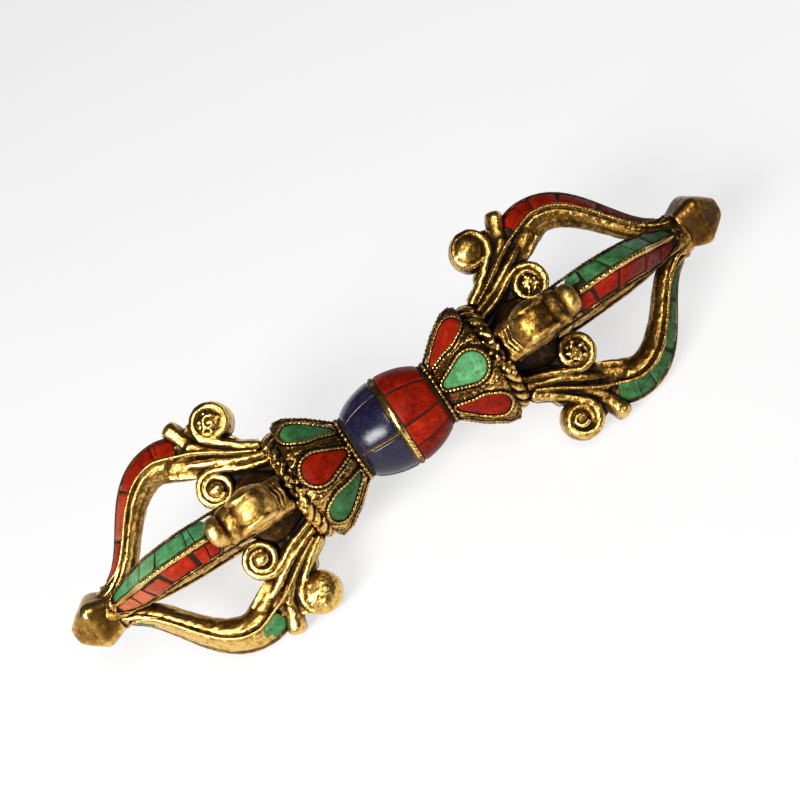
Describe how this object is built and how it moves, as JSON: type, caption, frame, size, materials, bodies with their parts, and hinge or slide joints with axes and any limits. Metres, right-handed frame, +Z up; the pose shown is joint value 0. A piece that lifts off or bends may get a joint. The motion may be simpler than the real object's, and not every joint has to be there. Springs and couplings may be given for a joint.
{
  "type": "dorje vajra",
  "caption": "Brass dorje with a stone-inlaid grip between two lotus cups, each holding a ring of bowed, stone-inlaid prongs that close on a central shaft with a blunt finial.",
  "frame": {"origin": "centre of the round grip, half-way between the two tips", "axes": "+X along the long axis towards the end on the coral side of the grip, +Z up when it lies on the scrolls of its lower prongs, +Y towards the back"},
  "size_m": [0.1648, 0.0406, 0.0406],
  "materials": {
    "brass": "cast and hand-finished, polished on the high places, dark patina in the recesses",
    "coral": "polished red coral with scratches and dark cement joints",
    "turquoise": "waxed green turquoise with brown staining",
    "lapis": "polished dark lapis"
  },
  "bodies": {
    "root": {"grip_core": "brass", "centre_pin": "brass", "grip_band": "brass", "lapis_stones": "lapis", "coral_stones": "coral", "left_collar": "brass", "left_lotus_cup": "brass", "left_coral_petals": "coral", "left_turquoise_petals": "turquoise", "left_petal_bezels": "brass", "left_rope_rim": "brass", "left_centre_prong": "brass", "right_collar": "brass", "right_lotus_cup": "brass", "right_coral_petals": "coral", "right_turquoise_petals": "turquoise", "right_petal_bezels": "brass", "right_rope_rim": "brass", "right_centre_prong": "brass", "left_back_top_prong": "brass", "left_back_top_coral_tiles": "coral", "left_back_top_turquoise_tiles": "turquoise", "left_back_top_bead_wires": "brass", "left_front_top_prong": "brass", "left_front_top_coral_tiles": "coral", "left_front_top_turquoise_tiles": "turquoise", "left_front_top_bead_wires": "brass", "left_front_base_prong": "brass", "left_front_base_coral_tiles": "coral", "left_front_base_turquoise_tiles": "turquoise", "left_front_base_bead_wires": "brass", "left_back_base_prong": "brass", "left_back_base_coral_tiles": "coral", "left_back_base_turquoise_tiles": "turquoise", "left_back_base_bead_wires": "brass", "right_back_top_prong": "brass", "right_back_top_coral_tiles": "coral", "right_back_top_turquoise_tiles": "turquoise", "right_back_top_bead_wires": "brass", "right_front_top_prong": "brass", "right_front_top_coral_tiles": "coral", "right_front_top_turquoise_tiles": "turquoise", "right_front_top_bead_wires": "brass", "right_front_base_prong": "brass", "right_front_base_coral_tiles": "coral", "right_front_base_turquoise_tiles": "turquoise", "right_front_base_bead_wires": "brass", "right_back_base_prong": "brass", "right_back_base_coral_tiles": "coral", "right_back_base_turquoise_tiles": "turquoise", "right_back_base_bead_wires": "brass"}
  },
  "joints": []
}
